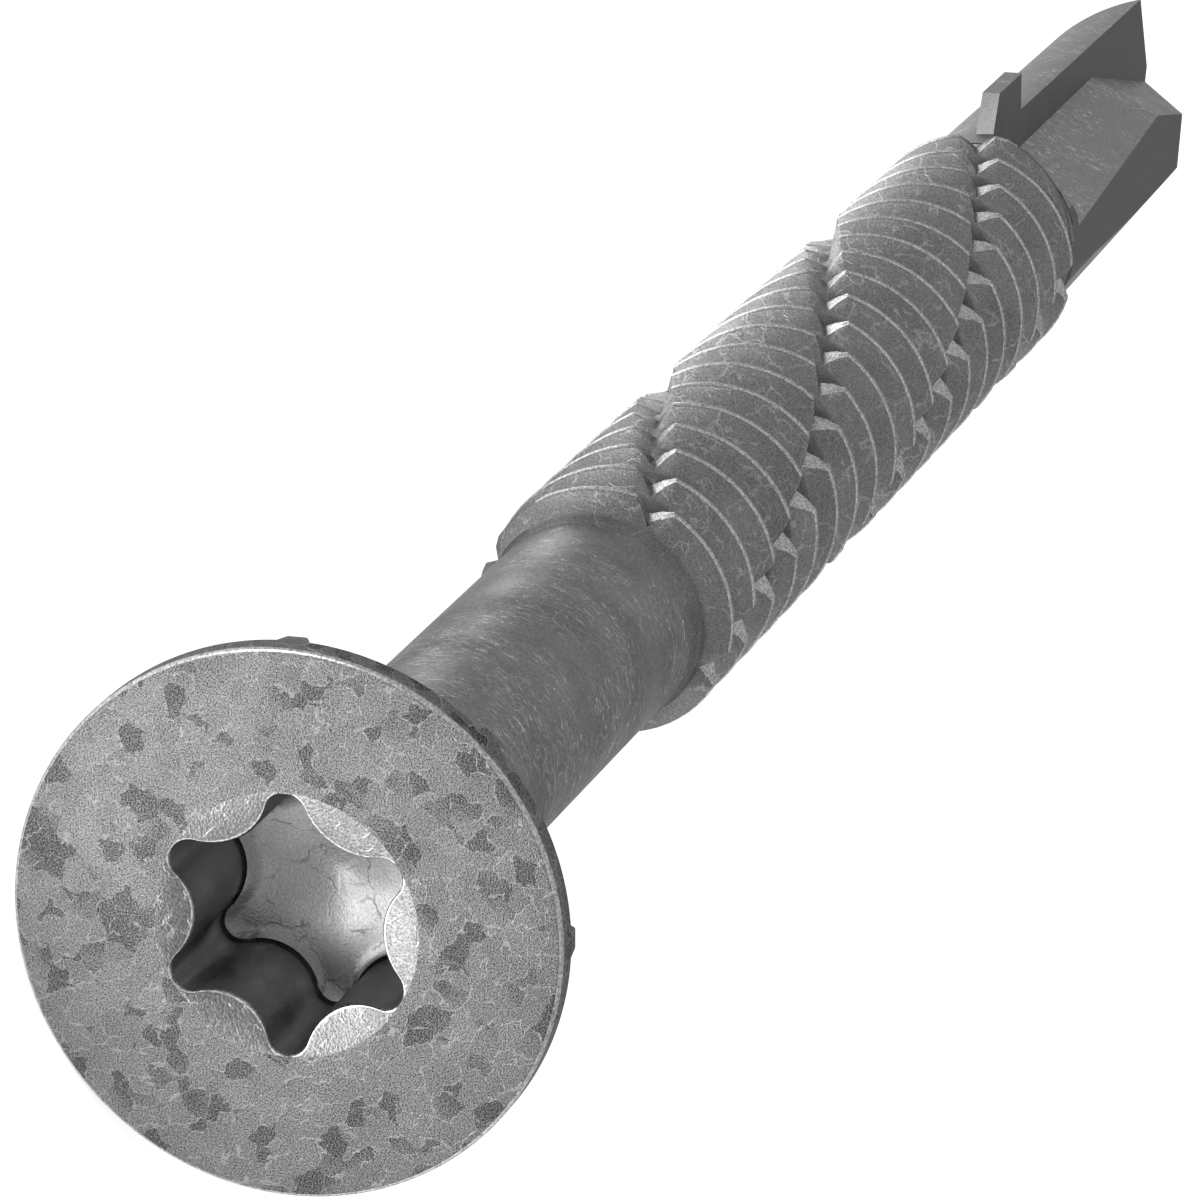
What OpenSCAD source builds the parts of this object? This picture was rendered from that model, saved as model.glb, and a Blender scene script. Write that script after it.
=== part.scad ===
// A winged self-drilling screw that fixes timber to steel, lying on its side as it comes to rest.
// It is first built upright about its own axis, with the head's flat face at z = 0, the tip at
// z = length and one wing along +X, and then laid down. Angles about the axis grow from +X to +Y.
// Everything is in millimetres.

/* [Whole screw] */
// Length from the head's flat face to the tip
length = 80; // [70:0.5:100]
// How far the lying screw has rolled from where a wing meets the floor
roll_off_wing = 18; // [0:1:50]

/* [Head] */
// Diameter over the straight rim
head_d = 12; // [10:0.1:14]
// Height of the straight rim
rim_h = 0.7; // [0.4:0.05:1.2]
// Radius of the rounded upper edge
edge_r = 0.12; // [0.05:0.01:0.3]
// Full angle of the countersunk underside
cone_angle = 90; // [80:1:100]
// Number of milling ribs under the head
rib_count = 8; // [4:1:10]
// How far a rib stands off the underside, measured along the axis
rib_h = 0.27; // [0.15:0.01:0.5]
// Width of a rib where it leaves the underside
rib_foot_w = 0.66; // [0.5:0.01:1]
// Width of a rib along its top
rib_top_w = 0.44; // [0.2:0.01:0.48]
// Radius at which a rib ends beside the shank
rib_inner_r = 3.3; // [2.9:0.1:4]

/* [Six lobed drive recess] */
// Diameter over the lobe tips
lobe_d = 5.7; // [5.4:0.05:5.75]
// Diameter over the ridges between the lobes
ridge_d = 4.1; // [3.9:0.05:4.3]
// Radius of a lobe tip
lobe_r = 0.46; // [0.4:0.01:0.5]
// Depth of the straight walls below the flat face
recess_depth = 3.3; // [2.4:0.1:3.6]
// Extra depth of the dished floor at its centre
floor_dish = 0.45; // [0.2:0.05:0.6]
// Diameter of the shallow round mouth
mouth_d = 5.8; // [5.76:0.02:6.2]
// Depth of the mouth where it meets the ridges
mouth_depth = 0.18; // [0.05:0.01:0.3]

/* [Shank] */
// Diameter of the plain shank
shank_d = 5.07; // [4.9:0.01:5.15]
// Distance from the flat face to the end of the plain shank
shank_end = 22.04; // [15:0.01:30]

/* [Thread] */
// Diameter over the crests
crest_d = 6.24; // [5.9:0.01:6.6]
// Diameter at the root between the turns
root_d = 5.2; // [5.16:0.01:5.3]
// Distance from one turn to the next
pitch = 1.899; // [1.4:0.001:2.4]
// Width of the crest along the axis
crest_w = 0.2; // [0.1:0.01:0.3]
// Width of the thread at its root along the axis
thread_foot_w = 0.64; // [0.5:0.01:0.9]
// Height above the flat face at which a full turn's crest passes the first wing
crest_datum = 23.04; // [22.9:0.01:23.3]
// Distance from the last turn's end to the tip
thread_end_to_tip = 20.35; // [18:0.01:24]
// Angle over which the thread rises to its full height at the shank
run_in_angle = 126; // [60:1:200]
// Angle over which the thread fades out at the drill
run_out_angle = 72; // [40:1:150]

/* [Thread notches] */
// Length in which a row of notches makes one left hand turn about the axis
notch_lead = 63.2; // [40:0.1:120]
// Angle of a notch row at its datum height
notch_datum_angle = 46.2; // [0:0.1:90]
// Datum height of the notch rows
notch_datum = 35.4; // [30:0.1:40]
// Angle from a notch's floor to its leading corner on the crest
notch_lead_side = 9.5; // [4:0.05:12]
// Angle from a notch's floor to its trailing corner on the crest
notch_trail_side = 9.65; // [6:0.05:16]
// Diameter at the floor of a notch
notch_floor_d = 5.24; // [5.21:0.01:5.6]

/* [Drill point] */
// Diameter of the drill body beside the thread
drill_d = 5.4; // [5.35:0.01:5.8]
// Diameter of the drill body at the tip
drill_tip_d = 5.08; // [4.9:0.01:5.3]
// Distance from the tip back to the drill body's end face
drill_l = 20.2; // [18:0.1:22]
// Distance of each cutting face from the plane through the axis
rake_offset = 0.0885; // [0:0.001:0.2]
// Distance of the flute's floor from the axis
flute_floor = 1.475; // [1.2:0.01:1.8]
// Angle by which the flute's floor is turned from the wing
flute_turn = 26.6; // [15:0.1:35]
// Distance from the tip back to where the flute reaches its full depth
flute_full_l = 17.7; // [16:0.1:18]
// Slope of the flute's run out to the axis
flute_ramp = 28; // [20:1:40]
// Distance from the tip back to where the floor turns in to the point
point_cut_l = 7.25; // [6:0.05:9]
// Slope of that last part of the floor to the axis
point_cut_slope = 12.3; // [10:0.1:15]
// Distance of the flat side face from the axis plane, beside the thread
side_flat = 2.62; // [2.5:0.01:2.7]
// Slope of the flat side face to the axis
side_flat_slope = 2.51; // [1.5:0.01:3.5]
// Drop of each cutting edge per millimetre from the centre
point_slope = 0.45; // [0.3:0.01:0.7]
// Drop of each end face behind its cutting edge per millimetre
relief_slope = 1.6; // [1:0.05:2]

/* [Wings] */
// Span over both wings
wing_span = 7.38; // [6.4:0.02:8.4]
// Thickness of a wing
wing_t = 0.484; // [0.3:0.001:0.8]
// Distance from the tip back to a wing's foot on the thread side
wing_front_l = 19.6; // [18.5:0.1:20]
// Distance from the tip back to a wing's end on the point side
wing_back_l = 15.9; // [14:0.1:17]
// Slope of the wing's front edge towards the point
wing_front_lean = 0.8; // [0:0.1:1.5]

/* [Hidden] */
head_r = head_d / 2;
shank_r = shank_d / 2;
crest_r = crest_d / 2;
root_r = root_d / 2;
wing_r = wing_span / 2;
half_cone = cone_angle / 2;
thread_end = length - thread_end_to_tip;
drill_start = length - drill_l;
reach = 2.5 * head_d;
overlap = 0.2;
round_steps = 96;

// The six lobed outline: lobe arcs and ridge arcs meet tangent to tangent
lobe_centre = lobe_d / 2 - lobe_r;
ridge_r = (pow(lobe_r, 2) - pow(lobe_centre, 2) - pow(ridge_d / 2, 2)
    + lobe_centre * ridge_d * cos(30)) / (ridge_d - 2 * lobe_centre * cos(30) - 2 * lobe_r);
ridge_centre = ridge_d / 2 + ridge_r;

arc_steps = 5;
function turned(p, angle) =
    [p[0] * cos(angle) - p[1] * sin(angle), p[0] * sin(angle) + p[1] * cos(angle)];

// A point at a radius, an angle and a height about the screw's axis
function at(radius, angle, height) = [radius * cos(angle), radius * sin(angle), height];

// The thread is woven from columns that run along the notch rows. Each quarter turn has a column
// on the notch floor, one on each notch corner and evenly spaced ones between the corners.
notch_rows = 4;
row_step = 360 / notch_rows;
crest_steps = 6;
columns = notch_rows * (crest_steps + 2);
row_drift = 360 / notch_lead;

function column_offset(i) =
    i == 0 ? 0
    : notch_lead_side + (row_step - notch_lead_side - notch_trail_side) * (i - 1) / crest_steps;
function row_angle(column) =
    notch_datum_angle + row_step * floor(column / (crest_steps + 2))
    + column_offset(column - floor(column / (crest_steps + 2)) * (crest_steps + 2));

// Height of the crest on a column, where the right hand helix and the row cross
function crest_height(column) =
    (crest_datum + pitch / 360 * (row_angle(column) + row_drift * notch_datum))
    / (1 + pitch * row_drift / 360);
function column_angle(column, height) = row_angle(column) - row_drift * (height - notch_datum);
function helix_angle(height) = 360 * (height - crest_datum) / pitch;
function rows_below(height) =
    (helix_angle(height) + row_drift * (height - notch_datum) - notch_datum_angle) / row_step;

first_crest_gap = 0.13;
last_crest_gap = 0.01;
first_column = ceil(rows_below(shank_end + first_crest_gap)) * (crest_steps + 2);
last_column = floor(rows_below(thread_end - last_crest_gap)) * (crest_steps + 2);
start_angle = helix_angle(crest_height(first_column));
end_angle = helix_angle(crest_height(last_column));

// Share of the full thread height at an angle along the helix
function rise(angle) =
    min(1, pow(max(0, angle - start_angle) / run_in_angle, 1.3),
        pow(max(0, end_angle - angle) / run_out_angle, 1.4));

thin_end_share = 0.3;
function thread_point(column, side, on_crest) =
    let (
        middle = crest_height(column),
        share = rise(helix_angle(middle)),
        tip_r = root_r + (crest_r - root_r) * share,
        on_floor = column % (crest_steps + 2) == 0,
        radius = on_floor ? min(tip_r, notch_floor_d / 2) : tip_r,
        foot = thread_foot_w / 2 * (thin_end_share + (1 - thin_end_share) * share),
        crest = min(foot, crest_w / 2),
        cut = tip_r > root_r ? (tip_r - radius) / (tip_r - root_r) : 1,
        half_w = on_crest ? crest + (foot - crest) * cut : foot,
        height = middle + side * half_w
    )
    at(on_crest ? radius : root_r, column_angle(column, height), height);

// Rings that close the thread's ends inside the shank and inside the drill body
neck_r = 2.2;
neck_gap = 0.03;
neck_l = 0.4;
function ring(from, radius, height) =
    [for (i = [0 : columns - 1]) at(radius, column_angle(from + i, height), height)];

// Two triangles over four corners, given in order
function patch(a, b, c, d) = [[a, b, c], [a, c, d]];
function flat(lists) = [for (list = lists) for (item = list) item];

module thread() {
    count = last_column - first_column + 1;
    rows = flat([for (c = [first_column : last_column]) [
        thread_point(c, -1, false), thread_point(c, -1, true),
        thread_point(c, 1, true), thread_point(c, 1, false)
    ]]);
    lower = ring(first_column, root_r - 0.03, shank_end + neck_gap);
    lower_neck = ring(first_column, neck_r, shank_end - neck_l);
    upper = ring(last_column, drill_d / 2 - 0.04, drill_start - neck_gap);
    upper_neck = ring(last_column, neck_r, drill_start + neck_l);
    // Where each group of points begins in the full list
    ring_at = 4 * count;
    neck_at = ring_at + columns;
    top_at = neck_at + columns;
    top_neck_at = top_at + columns;
    last = count - 1;
    ridges = flat([for (c = [0 : count - 2]) for (r = [0 : 2])
        patch(4 * c + r, 4 * c + r + 1, 4 * c + r + 5, 4 * c + r + 4)]);
    roots = flat([for (c = [0 : count - columns - 2])
        patch(4 * c + 3, 4 * (c + columns), 4 * (c + columns + 1), 4 * c + 7)]);
    lead_in = flat([for (c = [0 : columns - 2])
        patch(ring_at + c, 4 * c, 4 * c + 4, ring_at + c + 1)]);
    lead_out = flat([for (i = [0 : columns - 2]) let (c = last - columns + 1 + i)
        patch(4 * c + 3, top_at + i + 1, top_at + (i + 2) % columns, 4 * c + 7)]);
    // The thread's two ends are closed by fans in the gap between neighbouring columns
    start_fan = let (hub = 4 * (columns - 1), way = [
        ring_at + columns - 1, hub, 4 * columns, 3, 2, 1, 0, ring_at
    ]) [for (i = [2 : len(way) - 2]) [hub, way[i], way[i + 1]]];
    start_gap = [[ring_at + columns - 1, 4 * (columns - 1), ring_at]];
    end_fan = let (hub = 4 * (last - columns + 1) + 3, way = [
        hub, hub - 4, 4 * last, 4 * last + 1, 4 * last + 2, 4 * last + 3, top_at, top_at + 1
    ]) [for (i = [1 : len(way) - 2]) [hub, way[i], way[i + 1]]];
    necks = flat([for (i = [0 : columns - 1]) let (next = (i + 1) % columns) concat(
        patch(neck_at + i, ring_at + i, ring_at + next, neck_at + next),
        patch(top_at + i, top_neck_at + i, top_neck_at + next, top_at + next)
    )]);
    lids = [
        [for (i = [0 : columns - 1]) neck_at + i],
        [for (i = [columns - 1 : -1 : 0]) top_neck_at + i]
    ];
    polyhedron(
        points = concat(rows, lower, lower_neck, upper, upper_neck),
        faces = concat(ridges, roots, lead_in, lead_out, start_fan, start_gap, end_fan, necks, lids),
        convexity = 10
    );
}

// The head and the plain shank in one turned profile
module head_and_shank() {
    edge = [for (a = [90 : -22.5 : 0])
        [head_r - edge_r + edge_r * cos(a), edge_r - edge_r * sin(a)]];
    rotate_extrude($fn = round_steps)
        polygon(concat([[0, 0]], edge, [
            [head_r, rim_h],
            [shank_r, rim_h + (head_r - shank_r) / tan(half_cone)],
            [shank_r, shank_end],
            [0, shank_end]
        ]));
}

// One milling rib, a low bar along the countersunk underside that ends just inside the rim
module rib() {
    rib_setback = 0.03;
    stand = rib_h * sin(half_cone);
    sunk = 0.15;
    flare = (rib_foot_w - rib_top_w) / 2 * sunk / stand;
    intersection() {
        translate([rib_inner_r, 0, rim_h + (head_r - rib_inner_r) / tan(half_cone)])
            rotate([0, 180 - half_cone, 0])
                rotate([0, 0, 90])
                    linear_extrude((head_r + 1 - rib_inner_r) / sin(half_cone))
                        polygon([
                            [-rib_foot_w / 2 - flare, -sunk],
                            [rib_foot_w / 2 + flare, -sunk],
                            [rib_top_w / 2, stand],
                            [-rib_top_w / 2, stand]
                        ]);
        translate([0, 0, rim_h / 2])
            cylinder(r = head_r - rib_setback, h = head_r, $fn = round_steps);
    }
}

// The six lobed outline: from each lobe's arc into the ridge's arc, tangent to tangent
module lobed_outline() {
    lobe_turn = atan2(ridge_centre * sin(30), ridge_centre * cos(30) - lobe_centre);
    ridge_turn = atan2(lobe_centre * sin(30), ridge_centre - lobe_centre * cos(30));
    polygon([for (k = [0 : 5]) each concat(
        [for (i = [-arc_steps : arc_steps]) let (a = lobe_turn * i / arc_steps)
            turned([lobe_centre + lobe_r * cos(a), lobe_r * sin(a)], 60 * k)],
        [for (i = [1 - arc_steps : arc_steps - 1]) let (a = ridge_turn * i / arc_steps)
            turned([ridge_centre - ridge_r * cos(a), ridge_r * sin(a)], 60 * k + 30)]
    )]);
}

// The drive recess, with its shallow mouth, straight walls and dished floor
module recess() {
    translate([0, 0, -1])
        linear_extrude(recess_depth + 1)
            lobed_outline();
    translate([0, 0, recess_depth - 0.02])
        cylinder(r1 = ridge_d / 2 - 0.1, r2 = 0, h = floor_dish, $fn = round_steps);
    mouth_growth = (mouth_d - ridge_d) / 2 / mouth_depth;
    translate([0, 0, -overlap])
        cylinder(r1 = mouth_d / 2 + overlap * mouth_growth, r2 = ridge_d / 2 - 0.02,
            h = mouth_depth + overlap, $fn = round_steps);
}

// Everything on the outer side of a plane that faces +X and leans over by the given angle
module outside(distance, height, lean) {
    translate([distance, 0, height])
        rotate([0, -lean, 0])
            translate([0, -reach, -2 * reach])
                cube([2 * reach, 2 * reach, 4 * reach]);
}

// One flute, from its run out beside the thread to the point
module flute() {
    intersection() {
        translate([-reach, rake_offset, drill_start - 1])
            cube([2 * reach, reach, drill_l + 2]);
        rotate(flute_turn)
            union() {
                intersection() {
                    outside(flute_floor, length - flute_full_l, 0);
                    outside(flute_floor, length - flute_full_l, flute_ramp);
                }
                outside(flute_floor, length - point_cut_l, point_cut_slope);
            }
    }
}

// One of the two faces that form the point and fall away behind a cutting edge
module end_face() {
    translate([0, 0, length])
        rotate(atan2(-relief_slope, point_slope))
            rotate([0, atan(norm([relief_slope, point_slope])), 0])
                translate([-reach, -reach, 0])
                    cube([2 * reach, 2 * reach, reach]);
}

// One wing, which opens the hole in the timber and breaks off on the steel
module wing() {
    foot = length - wing_front_l;
    back = length - wing_back_l;
    translate([0, rake_offset + overlap, 0])
        rotate([90, 0, 0])
            linear_extrude(wing_t + overlap)
                polygon([
                    [1, foot], [drill_d / 2, foot],
                    [wing_r, foot + wing_front_lean], [wing_r, back], [1, back]
                ]);
}

module drill() {
    difference() {
        union() {
            translate([0, 0, drill_start])
                cylinder(d1 = drill_d, d2 = drill_tip_d, h = drill_l + 1, $fn = round_steps);
            for (turn = [0, 180])
                rotate(turn)
                    wing();
        }
        for (turn = [0, 180])
            rotate(turn) {
                flute();
                end_face();
                rotate(90)
                    outside(side_flat, drill_start, side_flat_slope);
            }
    }
}

// The screw upright, tip up, about its own axis
module upright() {
    difference() {
        union() {
            head_and_shank();
            for (k = [0 : rib_count - 1])
                rotate(360 * k / rib_count)
                    rib();
        }
        recess();
    }
    thread();
    drill();
}

// At rest the screw bears on the rim of its head and on its last full crest. It can roll on these
// until a wing's edge meets the floor, and it lies the given angle short of that.
full_end_angle = end_angle - run_out_angle;
wing_low = norm([wing_r, rake_offset]);
wing_low_z = length - wing_back_l;
function crest_below(down) =
    crest_datum + pitch * (down / 360 + floor((full_end_angle - down) / 360));
function dip_for(down) =
    atan((head_r - crest_r) / (crest_below(down) + crest_w / 2 - rim_h));
function down_for(dip) =
    180 + atan(rake_offset / wing_r)
    + acos(min(1, (head_r - (wing_low_z - rim_h) * tan(dip)) / wing_low));
down = down_for(dip_for(down_for(dip_for(220)))) + roll_off_wing;
dip = dip_for(down);
tip_x = length * cos(dip);
head_x = -(head_r - edge_r) * sin(dip);

module lying() {
    translate([-(tip_x + head_x) / 2, 0, head_r * cos(dip) + rim_h * sin(dip)])
        rotate([0, 90 + dip, 0])
            rotate(-down)
                children();
}

module screw() {
    color("#8f9499")
        lying()
            upright();
}

screw();
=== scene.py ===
"""Dresses the winged self-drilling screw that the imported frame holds.

The screw is modelled upright about its own axis, in millimetres, and each finished piece is then laid
down where the frame holds it. The head's flat face is at height 0, the tip is at the screw's length,
and one wing points along +X.
"""

import logging
import math
from dataclasses import dataclass, field
from enum import Enum
from typing import Callable

import bmesh
import bpy
from mathutils import Matrix, Vector

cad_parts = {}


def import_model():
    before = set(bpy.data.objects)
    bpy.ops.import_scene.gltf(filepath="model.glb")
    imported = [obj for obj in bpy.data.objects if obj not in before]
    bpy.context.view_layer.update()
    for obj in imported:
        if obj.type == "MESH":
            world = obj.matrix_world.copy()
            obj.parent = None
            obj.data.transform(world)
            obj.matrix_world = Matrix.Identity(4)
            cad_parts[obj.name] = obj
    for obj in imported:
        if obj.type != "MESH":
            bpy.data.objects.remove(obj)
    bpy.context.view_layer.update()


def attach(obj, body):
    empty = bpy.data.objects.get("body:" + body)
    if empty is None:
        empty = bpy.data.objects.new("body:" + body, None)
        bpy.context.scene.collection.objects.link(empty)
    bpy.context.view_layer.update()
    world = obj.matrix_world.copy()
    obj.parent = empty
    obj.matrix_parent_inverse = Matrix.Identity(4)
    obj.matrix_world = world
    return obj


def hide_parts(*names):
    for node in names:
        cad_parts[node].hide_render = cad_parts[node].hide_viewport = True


log = logging.getLogger("screw")

NODE = "screw"
BODY = "root"
MM = 0.001
PHOTO_SIDE = 1200
CUT_MERGE = 1e-5

Rise = Callable[[float], float]
Socket = bpy.types.NodeSocket
Corner = bmesh.types.BMVert


@dataclass(frozen=True)
class ScrewSizes:
    """The screw's driving sizes, in millimetres and degrees, the same as the solid's."""

    length: float = 80.0
    head_r: float = 6.0
    edge_r: float = 0.12
    rim_h: float = 0.7
    shank_r: float = 2.535
    shank_end: float = 22.04
    crest_r: float = 3.12
    root_r: float = 2.6
    pitch: float = 1.899
    crest_datum: float = 23.04
    crest_half: float = 0.1
    first_gap: float = 0.13
    last_gap: float = 0.01
    thread_end: float = 59.65
    run_in: float = 126.0
    run_out: float = 72.0
    notch_lead: float = 63.2
    notch_angle: float = 46.2
    notch_datum: float = 35.4
    drill_start: float = 59.8
    drill_r: float = 2.7
    drill_tip_r: float = 2.54
    drill_cone_l: float = 21.2
    rake: float = 0.0885
    wing_r: float = 3.69
    wing_t: float = 0.484
    wing_foot: float = 60.4
    wing_lean: float = 0.8
    wing_back: float = 64.1
    roll_off_wing: float = 18.0

    @property
    def drift(self) -> float:
        """Degrees that a notch row turns per millimetre."""
        return 360 / self.notch_lead

    @property
    def seat_end(self) -> float:
        """Height at which the countersink would meet the shank."""
        return self.rim_h + self.head_r - self.shank_r

    @property
    def first_row(self) -> int:
        """Number of the notch row at which the thread starts."""
        return math.ceil(self.rows_below(self.shank_end + self.first_gap))

    @property
    def last_row(self) -> int:
        """Number of the notch row at which the thread ends."""
        return math.floor(self.rows_below(self.thread_end - self.last_gap))

    def helix_angle(self, height: float) -> float:
        """Angle along the thread's helix at a height."""
        return 360 * (height - self.crest_datum) / self.pitch

    def crest_height(self, row_angle: float) -> float:
        """Height at which the crest crosses the column that has this angle at the rows' datum.

        Args:
            row_angle: the column's angle at the datum height, counted on over the turns.

        Returns:
            The height of the crossing.
        """
        turned = row_angle + self.drift * self.notch_datum
        return (self.crest_datum + self.pitch / 360 * turned) / (1 + self.pitch * self.drift / 360)

    def column_angle(self, row_angle: float, height: float) -> float:
        """Angle about the axis of a column at a height."""
        return row_angle - self.drift * (height - self.notch_datum)

    def rows_below(self, height: float) -> float:
        """How many notch rows the crest has crossed below a height."""
        turned = self.helix_angle(height) + self.drift * (height - self.notch_datum)
        return (turned - self.notch_angle) / 90


@dataclass(frozen=True)
class Rest:
    """How the screw lies: on its head's rim and its last full crest, rolled off a wing's edge."""

    sizes: ScrewSizes
    first_guess: float = 220.0

    def full_end(self) -> float:
        """Finds where the thread stops having its full height.

        Returns:
            The helix angle in degrees.
        """
        s = self.sizes
        end = s.helix_angle(s.crest_height(s.notch_angle + 90 * s.last_row))
        return end - s.run_out

    def crest_below(self, down: float) -> float:
        """Finds the last full crest on the side that faces down.

        Args:
            down: the side that faces down, in degrees from the wing.

        Returns:
            The crest's height along the screw.
        """
        s = self.sizes
        turns = math.floor((self.full_end() - down) / 360)
        return s.crest_datum + s.pitch * (down / 360 + turns)

    def dip_for(self, down: float) -> float:
        """Finds the slope of the lying axis.

        Args:
            down: the side that faces down, in degrees from the wing.

        Returns:
            The slope in degrees.
        """
        s = self.sizes
        fall = (s.head_r - s.crest_r) / (self.crest_below(down) + s.crest_half - s.rim_h)
        return math.degrees(math.atan(fall))

    def down_for(self, dip: float) -> float:
        """Finds the side that faces down where the wing's edge would stop the roll.

        Args:
            dip: the slope of the axis in degrees.

        Returns:
            The side, in degrees from the wing.
        """
        s = self.sizes
        low = math.hypot(s.wing_r, s.rake)
        room = s.head_r - (s.wing_back - s.rim_h) * math.tan(math.radians(dip))
        lean = math.degrees(math.atan(s.rake / s.wing_r))
        return 180 + lean + math.degrees(math.acos(min(1.0, room / low)))

    def matrix(self) -> Matrix:
        """Places a point of the upright screw, in millimetres, in the frame, in metres.

        Returns:
            The matrix from the upright screw to the frame.
        """
        s = self.sizes
        down = self.down_for(self.dip_for(self.first_guess))
        down = self.down_for(self.dip_for(down)) + s.roll_off_wing
        dip = self.dip_for(down)
        slope = math.radians(dip)
        head_x = -(s.head_r - s.edge_r) * math.sin(slope)
        middle = (s.length * math.cos(slope) + head_x) / 2
        lift = s.head_r * math.cos(slope) + s.rim_h * math.sin(slope)
        turn = Matrix.Rotation(math.radians(90 + dip), 4, "Y")
        roll = Matrix.Rotation(math.radians(-down), 4, "Z")
        return Matrix.Scale(MM, 4) @ Matrix.Translation((-middle, 0, lift)) @ turn @ roll


@dataclass(frozen=True)
class Viewpoint:
    """The camera that took the photograph, told by where it sees the head and the axis."""

    lens: float = 249.70
    sensor: float = 36.0
    head_px: tuple[float, float] = (285.42, 925.75)
    head_depth: float = 172.711
    axis_tilt: float = math.degrees(0.4077)
    axis_turn: float = math.degrees(0.7773)
    wing_turn: float = 227.0

    def axes(self) -> tuple[Vector, Vector, Vector]:
        """Turns the upright screw as the camera sees it.

        Returns:
            The screw's X, Y and Z axes, each told as right, down and forward in the picture.
        """
        tilt = math.radians(self.axis_tilt)
        turn = math.radians(self.axis_turn)
        along = Vector((
            math.sin(tilt) * math.cos(turn), -math.sin(tilt) * math.sin(turn), math.cos(tilt)
        ))
        flat = Vector((math.sin(turn), math.cos(turn), 0))
        deep = along.cross(flat)
        wing = math.radians(self.wing_turn)
        across = math.cos(wing) * flat + math.sin(wing) * deep
        return across, along.cross(across), along

    def matrix(self, rest: Matrix) -> Matrix:
        """The camera's place in the frame.

        Args:
            rest: the matrix that lays the upright screw down.

        Returns:
            The camera's world matrix.
        """
        focal = self.lens / self.sensor * PHOTO_SIDE
        middle = PHOTO_SIDE / 2
        head = Vector((
            (self.head_px[0] - middle) / focal * self.head_depth,
            (self.head_px[1] - middle) / focal * self.head_depth,
            self.head_depth,
        ))
        seen = self.axes()
        eye = Vector([-head.dot(axis) for axis in seen])
        upright = Matrix((
            (seen[0].x, -seen[0].y, -seen[0].z, eye.x),
            (seen[1].x, -seen[1].y, -seen[1].z, eye.y),
            (seen[2].x, -seen[2].y, -seen[2].z, eye.z),
            (0, 0, 0, 1),
        ))
        place = rest @ upright
        return Matrix.LocRotScale(place.to_translation(), place.to_quaternion(), (1, 1, 1))


class Bench:
    """The few steps that every piece goes through."""

    @staticmethod
    def clear() -> None:
        """Deselects everything, in object mode."""
        if bpy.context.object and bpy.context.object.mode != "OBJECT":
            bpy.ops.object.mode_set(mode="OBJECT")
        bpy.ops.object.select_all(action="DESELECT")

    @staticmethod
    def pick(piece: bpy.types.Object) -> None:
        """Makes one piece the only selected and the active one.

        Args:
            piece: the piece.
        """
        Bench.clear()
        piece.select_set(True)
        bpy.context.view_layer.objects.active = piece

    @staticmethod
    def apply(piece: bpy.types.Object) -> None:
        """Applies every modifier of a piece, in order.

        Args:
            piece: the piece.
        """
        Bench.pick(piece)
        for modifier in list(piece.modifiers):
            bpy.ops.object.modifier_apply(modifier=modifier.name)

    @staticmethod
    def combine(piece: bpy.types.Object, tool: bpy.types.Object, how: str) -> None:
        """Cuts a tool from a piece or joins it on, and removes the tool.

        Args:
            piece: the solid that stays.
            tool: the solid that is used up.
            how: DIFFERENCE, UNION or INTERSECT.
        """
        modifier = piece.modifiers.new(how.title(), "BOOLEAN")
        modifier.operation = how
        modifier.solver = "EXACT"
        modifier.object = tool
        Bench.apply(piece)
        bpy.data.objects.remove(tool)

    @staticmethod
    def bisect(point: Vector, normal: Vector) -> None:
        """Cuts the mesh in edit mode by a plane, and caps what is left behind the plane.

        Args:
            point: a point of the plane.
            normal: the plane's normal, towards what is cut away.
        """
        bpy.ops.mesh.select_all(action="SELECT")
        bpy.ops.mesh.bisect(
            plane_co=point, plane_no=normal, use_fill=True, clear_outer=True, threshold=CUT_MERGE
        )

    @staticmethod
    def wear(piece: bpy.types.Object, width: float, sharp: float) -> None:
        """Rounds a piece's sharp edges.

        Args:
            piece: the piece.
            width: the width of the rounding.
            sharp: degrees from which an edge counts as sharp.
        """
        bevel = piece.modifiers.new("Worn edges", "BEVEL")
        bevel.width = width
        bevel.segments = 2
        bevel.limit_method = "ANGLE"
        bevel.angle_limit = math.radians(sharp)
        Bench.apply(piece)

    @staticmethod
    def smooth(piece: bpy.types.Object, degrees: float) -> None:
        """Shades a piece smooth, with edges kept above an angle."""
        Bench.pick(piece)
        bpy.ops.object.shade_smooth_by_angle(angle=math.radians(degrees))

    @staticmethod
    def lay(piece: bpy.types.Object, rest: Matrix) -> None:
        """Lays an upright piece down in its mesh, and hangs it on the frame's body.

        Args:
            piece: the finished piece.
            rest: the matrix that lays the upright screw down.
        """
        piece.data.transform(rest @ piece.matrix_world)
        piece.matrix_world = Matrix.Identity(4)
        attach(piece, BODY)
        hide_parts(NODE)
        log.info("%s: %d faces", piece.name, len(piece.data.polygons))


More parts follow.
